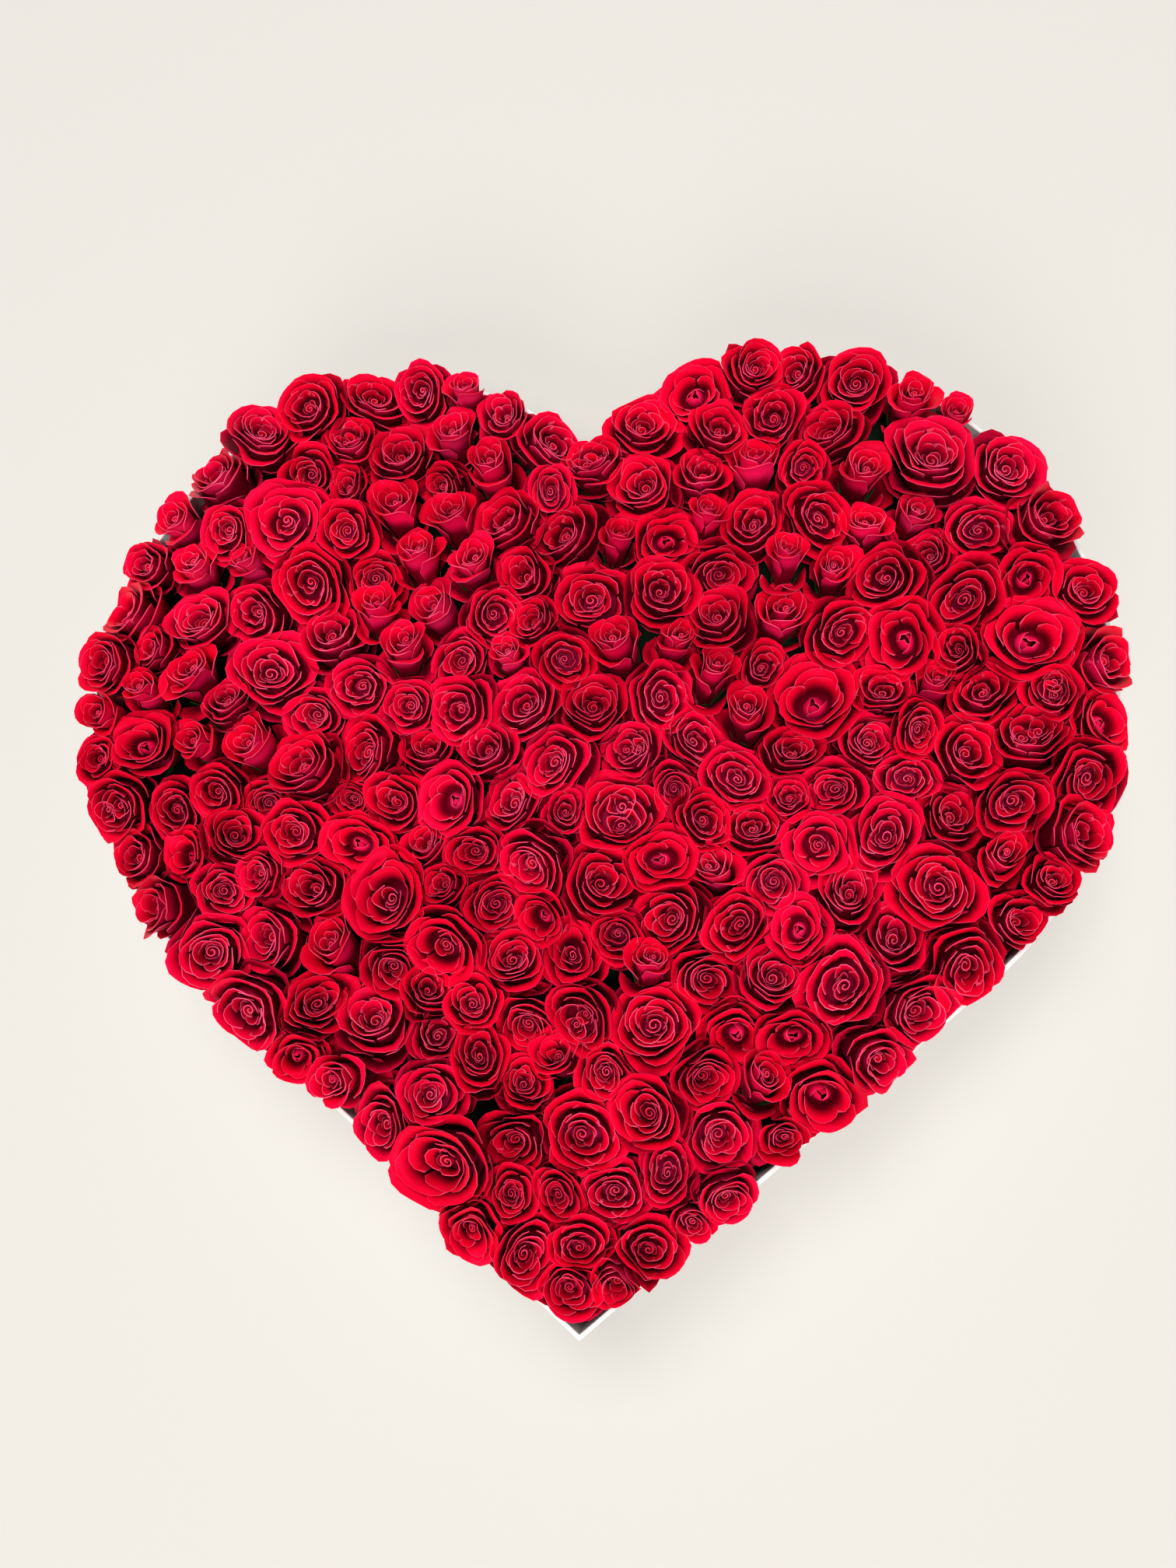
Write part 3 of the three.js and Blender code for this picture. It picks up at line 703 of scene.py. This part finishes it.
def add_cups(
    bm, count, heading, step, lips, tops, flares, curl, spread, rows, ripple, belly=None,
    shade=0.0, drop=0.22,
):
    """Looser petals round the spiral."""
    for i in range(count):
        share = i / max(count - 1, 1)
        lip = mix(*lips, share)
        girth = belly and belly * lip
        points = cup_points(lip, mix(*tops, share), mix(*flares, share), curl, girth)
        width = math.radians(spread + chance.uniform(-6, 6))
        wave = ripple * chance.uniform(0.5, 1.5)
        highlight_fade = OUTER_HIGHLIGHT_FADE * min(lip, 1)
        columns = 8 + rows // 5
        add_petal(
            bm, heading, width, points, columns, rows, drop, wave, PETAL_TUCK, highlight_fade, (0, 0), shade
        )
        heading += step + chance.uniform(-0.2, 0.2)
    return heading


def add_guards(bm, heading):
    """The broad outer petals, rolled back over the calyx."""
    # Painted shade: the upper ring of guard petals gets a little, the lower ring more.
    heading = add_cups(
        bm, 4, heading, GOLDEN_TURN, (0.86, 1.04), (-0.06, -0.3), (0.28, 0.38), 0.08, 66, 6, 0.05,
        shade=0.08, drop=0.3,
    )
    add_cups(
        bm, 4, heading, GOLDEN_TURN, (1.08, 1.24), (-0.5, -0.76), (0.34, 0.4), 0.1, 58, 4, 0.06,
        shade=0.45, drop=0.3,
    )


def spiral_bloom(bm):
    pit = chance.uniform(-0.4, -0.2)
    reach = chance.uniform(0.44, 0.58)
    add_heart(bm, 0.17, pit, 1.5)
    count = chance.randint(9, 11)
    heading = add_strips(bm, count, (0.2, reach), (pit, 0.0), (0.05, 0.13), GOLDEN_TURN, 70)
    lips = (reach + 0.09, 0.76)
    heading = add_cups(bm, 4, heading, GOLDEN_TURN, lips, (0.0, -0.03), (0.18, 0.24), 0.04, 64, 4, 0.025)
    add_guards(bm, heading)


def swirl_bloom(bm):
    pit = chance.uniform(-0.4, -0.24)
    turn = math.radians(chance.uniform(66, 84))
    add_heart(bm, 0.15, pit, 1.4)
    heading = add_strips(bm, 11, (0.17, 0.56), (pit, 0.0), (0.06, 0.13), turn, 58)
    heading = add_cups(bm, 4, heading, turn, (0.64, 0.78), (0.0, -0.04), (0.18, 0.24), 0.04, 60, 4, 0.025)
    add_guards(bm, heading)


def open_bloom(bm):
    pit = chance.uniform(-0.42, -0.28)
    if chance.random() < 0.6:
        add_inner_bud(bm, pit + 0.08)
    else:
        add_heart(bm, 0.14, pit, 1.5)
        add_strips(bm, 4, (0.17, 0.3), (pit, pit + 0.08), (0.06, 0.08), GOLDEN_TURN, 70)
    heading = chance.uniform(0, math.pi * 2)
    heading = add_cups(
        bm, 4, heading, GOLDEN_TURN, (0.5, 0.62), (-0.1, -0.01), (0.2, 0.28), 0.03, 68, 5, 0.025
    )
    heading = add_cups(
        bm, 4, heading, GOLDEN_TURN, (0.74, 0.94), (0.01, -0.08), (0.3, 0.42), 0.08, 68, 6, 0.03
    )
    add_cups(bm, 4, heading, GOLDEN_TURN, (1.06, 1.24), (-0.18, -0.36), (0.4, 0.44), 0.12, 62, 5, 0.04)


def twin_bloom(bm):
    turn = chance.uniform(0, math.pi)
    for side in (-1, 1):
        away = chance.uniform(0.14, 0.22) * side
        centre = (math.cos(turn) * away, math.sin(turn) * away)
        deep = chance.uniform(-0.24, -0.12)
        size = chance.uniform(0.28, 0.36)
        add_heart(bm, 0.12, deep, 1.4, centre)
        add_strips(bm, 5, (0.15, size), (deep, -0.03), (0.05, 0.08), GOLDEN_TURN, 66, centre)
    heading = add_strips(bm, 4, (0.4, 0.54), (-0.04, 0.0), (0.08, 0.12), GOLDEN_TURN, 68)
    heading = add_cups(
        bm, 3, heading, GOLDEN_TURN, (0.64, 0.76), (0.0, -0.04), (0.18, 0.24), 0.04, 64, 4, 0.03
    )
    add_guards(bm, heading)


def bud_bloom(bm):
    slim = chance.uniform(0.9, 1.12)
    bend = chance.uniform(0.1, 0.22)
    add_heart(bm, 0.12, -0.2, 1.5)
    heading = add_strips(bm, 5, (0.15, 0.32), (-0.2, -0.04), (0.05, 0.08), GOLDEN_TURN, 70)
    lips = (0.4 * slim, 0.54 * slim)
    # Negative shade takes the painted shade off the sides of the bud; its low outer petals get painted
    # shade.
    heading = add_cups(
        bm, 4, heading, GOLDEN_TURN, lips, (0.02, 0.0), (0.08, bend), 0.03, 74, 5, 0.04, 0.75, -0.5, 0.3
    )
    lips = (0.66 * slim, 0.86)
    flares = (bend + 0.08, bend + 0.2)
    heading = add_cups(
        bm, 3, heading, GOLDEN_TURN, lips, (-0.02, -0.14), flares, 0.1, 72, 6, 0.07, 0.6, -0.6, 0.42
    )
    add_cups(
        bm, 3, heading, GOLDEN_TURN, (0.9, 1.04), (-0.9, -1.06), (0.3, 0.36), 0.1, 56, 4, 0.05, shade=0.3
    )


def new_bloom(name, add_petals, core_radius, core_top, girth=1.0):
    """One head as a mesh, wound to the left or to the right."""
    bm = bmesh.new()
    bm.loops.layers.uv.new("petal_map")
    bm.verts.layers.float_color.new("petal")
    add_petals(bm)
    if chance.random() < MIRRORED:
        bmesh.ops.scale(bm, verts=bm.verts, vec=(-1, 1, 1))
    bmesh.ops.recalc_face_normals(bm, faces=bm.faces)
    add_core(bm, core_radius, core_top, girth)
    add_calyx(bm, girth)
    mesh = bpy.data.meshes.new(name)
    bm.to_mesh(mesh)
    bm.free()
    return mesh


spirals = [new_bloom(f"spiral_{i}", spiral_bloom, 0.46, -0.58) for i in range(9)]
swirls = [new_bloom(f"swirl_{i}", swirl_bloom, 0.46, -0.58) for i in range(5)]
opened = [new_bloom(f"open_{i}", open_bloom, 0.34, -0.62) for i in range(6)]
twins = [new_bloom(f"twin_{i}", twin_bloom, 0.5, -0.34) for i in range(3)]
buds = [new_bloom(f"bud_{i}", bud_bloom, 0.3, -0.44, 0.6) for i in range(6)]

# Bunches: neighbouring cut roses, each fitted to the room that the others and the rim leave it, and
# joined in one piece for each bunch of the source. Each stem goes down into its hole in the foam.
HEAD_SPREAD = 1.26
WIDEST_SPREAD = 1.36
RIM_SPREAD = 1.62
PRESS = 2.8
ROOM_ANGLES = 72
ROOM_SMOOTHING = 4
RIM_NEAR = 1.8
LEAST_FACING = 0.05
RIM_SLOPE = 0.9
TIP_SLOPE = 0.2
RIM_CLEAR = 1.5
RIM_SOFT = 7
STEM_RADIUS = 2.2
NECK_RADIUS = 2.8
BEND_HEIGHT = 87
TILT = 0.48
BUD_TILT = 0.55
BUD_RAISE = 4
BUD_AIM = 0.5
BUD_ROOM = 2.2
WIDE_TILT = 0.5
MOST_STRETCH = 0.19
MOST_SHIFT = 0.26
RAISE = 6.5
TIP_START = -262
TIP_RANGE = 20
TIP_NUDGE = 8
TIP_SHIFT = 5
PRESS_START = 0.25
PRESS_RANGE = 0.65
OVERLAP_KEPT = 0.3
EXTRA_BUDS = 0.15
UP_TO_SPIRAL = 0.5
UP_TO_SWIRL = 0.8
UP_TO_OPEN = 0.93
ROSE_TONE = 0.4
STEM_SIDES = 6
WIDE_KINDS = [
    opened, spirals, spirals, twins, swirls, opened, opened, spirals, opened, spirals, spirals,
    opened, swirls,
]
angles = numpy.linspace(0, math.pi * 2, ROOM_ANGLES, endpoint=False)


def pose_rose(rose, kind):
    """A tilt, an oval stretch and an off-centre heart of its own; buds turn up and outwards."""
    rose.bloom = chance.choice(kind)
    rose.tone = chance.random()
    rose.grain = chance.uniform(0, math.pi)
    rose.stretch = chance.uniform(0, MOST_STRETCH)
    heading = chance.uniform(0, math.pi * 2)
    away = chance.uniform(0.2, 1) * MOST_SHIFT * rose.radius
    rose.shift = numpy.array([math.cos(heading), math.sin(heading)]) * away
    tilt = TILT * math.sqrt(chance.random())
    rose.tilt = -rose.shift / max(away, TINY) * tilt
    rose.top += chance.uniform(-RAISE, RAISE)
    if kind is buds:
        aim = math.atan2(1, rose.place[0] / HEART_WIDTH) + chance.uniform(-BUD_AIM, BUD_AIM)
        room = min(min(near for _, near in rose.rims) / (rose.radius * BUD_ROOM), 1) ** 2
        toward = numpy.array([math.cos(aim), math.sin(aim)])
        rose.tilt = toward * BUD_TILT * chance.uniform(0.6, 1.1) * room
        rose.top += BUD_RAISE * room
    if rose.wide:
        rose.tilt = rose.tilt * WIDE_TILT
    at_tip = min(max((TIP_START - rose.place[1]) / TIP_RANGE, 0), 1)
    rose.place += numpy.array([TIP_SHIFT, TIP_NUDGE]) * at_tip


def room_round(rose):
    """How far a head may spread in each direction, with soft corners."""
    at_rim = min(near for _, near in rose.rims) < rose.radius * RIM_NEAR
    room = numpy.full(ROOM_ANGLES, rose.radius * (RIM_SPREAD if at_rim else WIDEST_SPREAD))
    for other in roses:
        offset = other.place - rose.place
        distance = math.hypot(*offset)
        if other is rose or distance > NEIGHBOUR_DISTANCE:
            continue
        reach = (distance ** 2 + rose.radius ** 2 - other.radius ** 2) / (2 * distance) + PRESS
        facing = numpy.cos(angles) * offset[0] / distance + numpy.sin(angles) * offset[1] / distance
        allowed = numpy.minimum(room, reach / numpy.maximum(facing, LEAST_FACING))
        room = numpy.where(facing > LEAST_FACING, allowed, room)
    kernel = numpy.hanning(ROOM_SMOOTHING * 2 + 3)[1:-1]
    padded = numpy.concatenate([room[-ROOM_SMOOTHING:], room, room[:ROOM_SMOOTHING]])
    smooth = numpy.convolve(padded, kernel / kernel.sum(), "valid")
    return numpy.append(smooth, smooth[0])


def fit_bloom(rose, mesh):
    """Vertex places of a bloom when it stands among its neighbours, in mm."""
    flat = numpy.empty(len(mesh.vertices) * 3)
    mesh.vertices.foreach_get("co", flat)
    shape = flat.reshape(-1, 3)
    turn = numpy.arctan2(shape[:, 1], shape[:, 0]) + rose.spin
    share = numpy.hypot(shape[:, 0], shape[:, 1])
    share = share * (1 + rose.stretch * numpy.cos(2 * (turn - rose.grain)))
    full = rose.radius * HEAD_SPREAD
    room = numpy.interp(turn % (math.pi * 2), numpy.append(angles, math.pi * 2), rose.room)
    pressed = numpy.clip((share - PRESS_START) / PRESS_RANGE, 0, 1)
    pressed = pressed * pressed * (3 - 2 * pressed)
    reach = share * full * (1 + (numpy.minimum(room / full, 1.0) - 1) * pressed)
    reach = numpy.where(reach > room, room + (reach - room) * OVERLAP_KEPT, reach)
    heart = (1 - numpy.minimum(share, 1)) ** 2 * numpy.clip(shape[:, 2] + 1, 0, 1)
    x = reach * numpy.cos(turn) + rose.shift[0] * heart
    y = reach * numpy.sin(turn) + rose.shift[1] * heart
    z = rose.top + shape[:, 2] * rose.depth / BLOOM_DEPTH
    pivot = rose.top - rose.depth * PIVOT_DEPTH
    lean = rose.lean + rose.tilt
    placed = numpy.stack([
        rose.place[0] + x + lean[0] * (z - pivot),
        rose.place[1] + y + lean[1] * (z - pivot),
        z - lean[0] * x - lean[1] * y,
    ], 1)
    slope = TIP_SLOPE if rose.place[1] < TIP_START else RIM_SLOPE
    above = numpy.maximum(placed[:, 2] - WALL_HEIGHT - RIM_CLEAR, 0)
    for normal, near in rose.rims:
        out = (placed[:, :2] - rose.place) @ normal
        free = numpy.maximum(near - BOARD - RIM_CLEAR + slope * above, 1) - RIM_SOFT
        excess = numpy.maximum(out - free, 0)
        placed[:, :2] -= (excess - RIM_SOFT * (1 - numpy.exp(-excess / RIM_SOFT)))[:, None] * normal
    return placed


def add_stem(bm, rose):
    """Straight up out of its hole in the foam, then over to the calyx."""
    head = rose.place - (rose.lean + rose.tilt) * rose.depth * (1 - PIVOT_DEPTH)
    column = [
        (STEM_RADIUS, STEM_TIP, *rose.stem),
        (STEM_RADIUS, BEND_HEIGHT, *rose.stem),
        (NECK_RADIUS, rose.top - rose.depth + 2, *head),
    ]
    add_spindle(bm, [tuple(float(size) * MM for size in ring) for ring in column], STEM_SIDES)


def add_rose(bm, rose, mesh):
    fitted = mesh.copy()
    fitted.vertices.foreach_set("co", (fit_bloom(rose, mesh) * MM).ravel())
    marks = fitted.attributes["petal"].data
    colours = numpy.empty(len(marks) * 4, numpy.float32)
    marks.foreach_get("color", colours)
    colours[3::4] = colours[3::4] * (1 - ROSE_TONE) + rose.tone * ROSE_TONE
    marks.foreach_set("color", colours)
    bm.from_mesh(fitted)
    bpy.data.meshes.remove(fitted)
    before = set(bm.faces)
    add_stem(bm, rose)
    for face in set(bm.faces) - before:
        face.material_index = 1


def choose_kind(number, rose):
    if rose.wide:
        return WIDE_KINDS[number]
    kind = chance.random()
    if rose.bud or (rose.place[1] > UPPER_HALF and kind < EXTRA_BUDS):
        return buds
    if kind < UP_TO_SPIRAL or rose.place[1] < TIP_START:
        return spirals
    if kind < UP_TO_SWIRL:
        return swirls
    return opened if kind < UP_TO_OPEN else twins


bunches = sorted(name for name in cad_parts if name.startswith("roses_"))
tips = {}
for name in bunches:
    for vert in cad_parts[name].data.vertices:
        if vert.co.z < (STEM_TIP + 1) * MM:
            tips.setdefault(name, []).append(vert.co.xy / MM)
for number, rose in enumerate(roses):
    pose_rose(rose, choose_kind(number, rose))
    rose.bunch = min(bunches, key=lambda name: min(math.dist(rose.stem, tip) for tip in tips[name]))
places = numpy.array([rose.place for rose in roses])
near_right = nearest_on(right_rim, places)
near_left = nearest_on(left_rim, places)
for i, rose in enumerate(roses):
    nearest = [(near_right[0][i], near_right[1][i]), (near_left[0][i], near_left[1][i])]
    rose.rims = [((point - rose.place) / near, near) for point, near in nearest]
    rose.room = room_round(rose)

slots = list(petal_reds)
for number, name in enumerate(bunches):
    bm = bmesh.new()
    for rose in roses:
        if rose.bunch == name:
            add_rose(bm, rose, rose.bloom)
    slot = slots[number % len(slots)]
    piece = new_piece(name.replace("roses", "rose_bunch"), bm, [petal_reds[slot], green])
    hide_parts(name)
for mesh in spirals + swirls + opened + twins + buds:
    bpy.data.meshes.remove(mesh)

# The stage: a plain pale floor under soft studio lamps, a strong one high above, a weaker one low in
# front that reaches the backs of the buds, and one over the lobes. The camera stands where the photo
# was taken, almost straight above.
FLOOR_REACH = 8
WORLD_STRENGTH = 0.38
AIM = Vector((0, 0, 0.1))
floor_colour = new_material("plain_matt_floor")
finish_material(
    floor_colour, {"Base Color": linear("#CAC7C1"), "Roughness": 0.9, "Specular IOR Level": 0.1}, {}
)
bm = bmesh.new()
bmesh.ops.create_grid(bm, x_segments=1, y_segments=1, size=FLOOR_REACH)
mesh = bpy.data.meshes.new("floor")
bm.to_mesh(mesh)
bm.free()
mesh.materials.append(floor_colour)
floor = bpy.data.objects.new("floor", mesh)
bpy.context.scene.collection.objects.link(floor)

LIGHTS = [
    ("key_light", (0.5, -2.3, 8.4), 2.6, 465),
    ("front_light", (-0.7, -4.6, 4.2), 3.0, 128),
    ("top_light", (-0.2, 2.0, 5.2), 2.2, 128),
]
for name, place, size, power in LIGHTS:
    lamp = bpy.data.lights.new(name, "AREA")
    lamp.size = size
    lamp.energy = power
    light = bpy.data.objects.new(name, lamp)
    light.location = place
    light.rotation_euler = (AIM - light.location).to_track_quat("-Z", "Y").to_euler()
    bpy.context.scene.collection.objects.link(light)

world = bpy.data.worlds.new("studio")
bpy.context.scene.world = world
world.use_nodes = True
sky = world.node_tree.nodes["Background"].inputs
sky["Color"].default_value = linear("#F4F1EE")
sky["Strength"].default_value = WORLD_STRENGTH

CAMERA_PLACE = (0.10024, -0.10703, 0.88812)
CAMERA_LOOK = (-0.12256, 0.16958, -0.97787)
CAMERA_UP = (0.01709, 0.98551, 0.16876)
CAMERA_LENS = 36.67
CAMERA_SENSOR = 36
look = Vector(CAMERA_LOOK).normalized()
across = look.cross(Vector(CAMERA_UP)).normalized()
up = across.cross(look)
lens = bpy.data.cameras.new("camera")
lens.sensor_fit = "HORIZONTAL"
lens.sensor_width = CAMERA_SENSOR
lens.lens = CAMERA_LENS
lens.clip_start = 0.01
camera = bpy.data.objects.new("camera", lens)
bpy.context.scene.collection.objects.link(camera)
turned = Matrix((across, up, -look)).transposed().to_4x4()
camera.matrix_world = Matrix.Translation(CAMERA_PLACE) @ turned
bpy.context.scene.camera = camera
bpy.context.scene.view_settings.view_transform = "Standard"
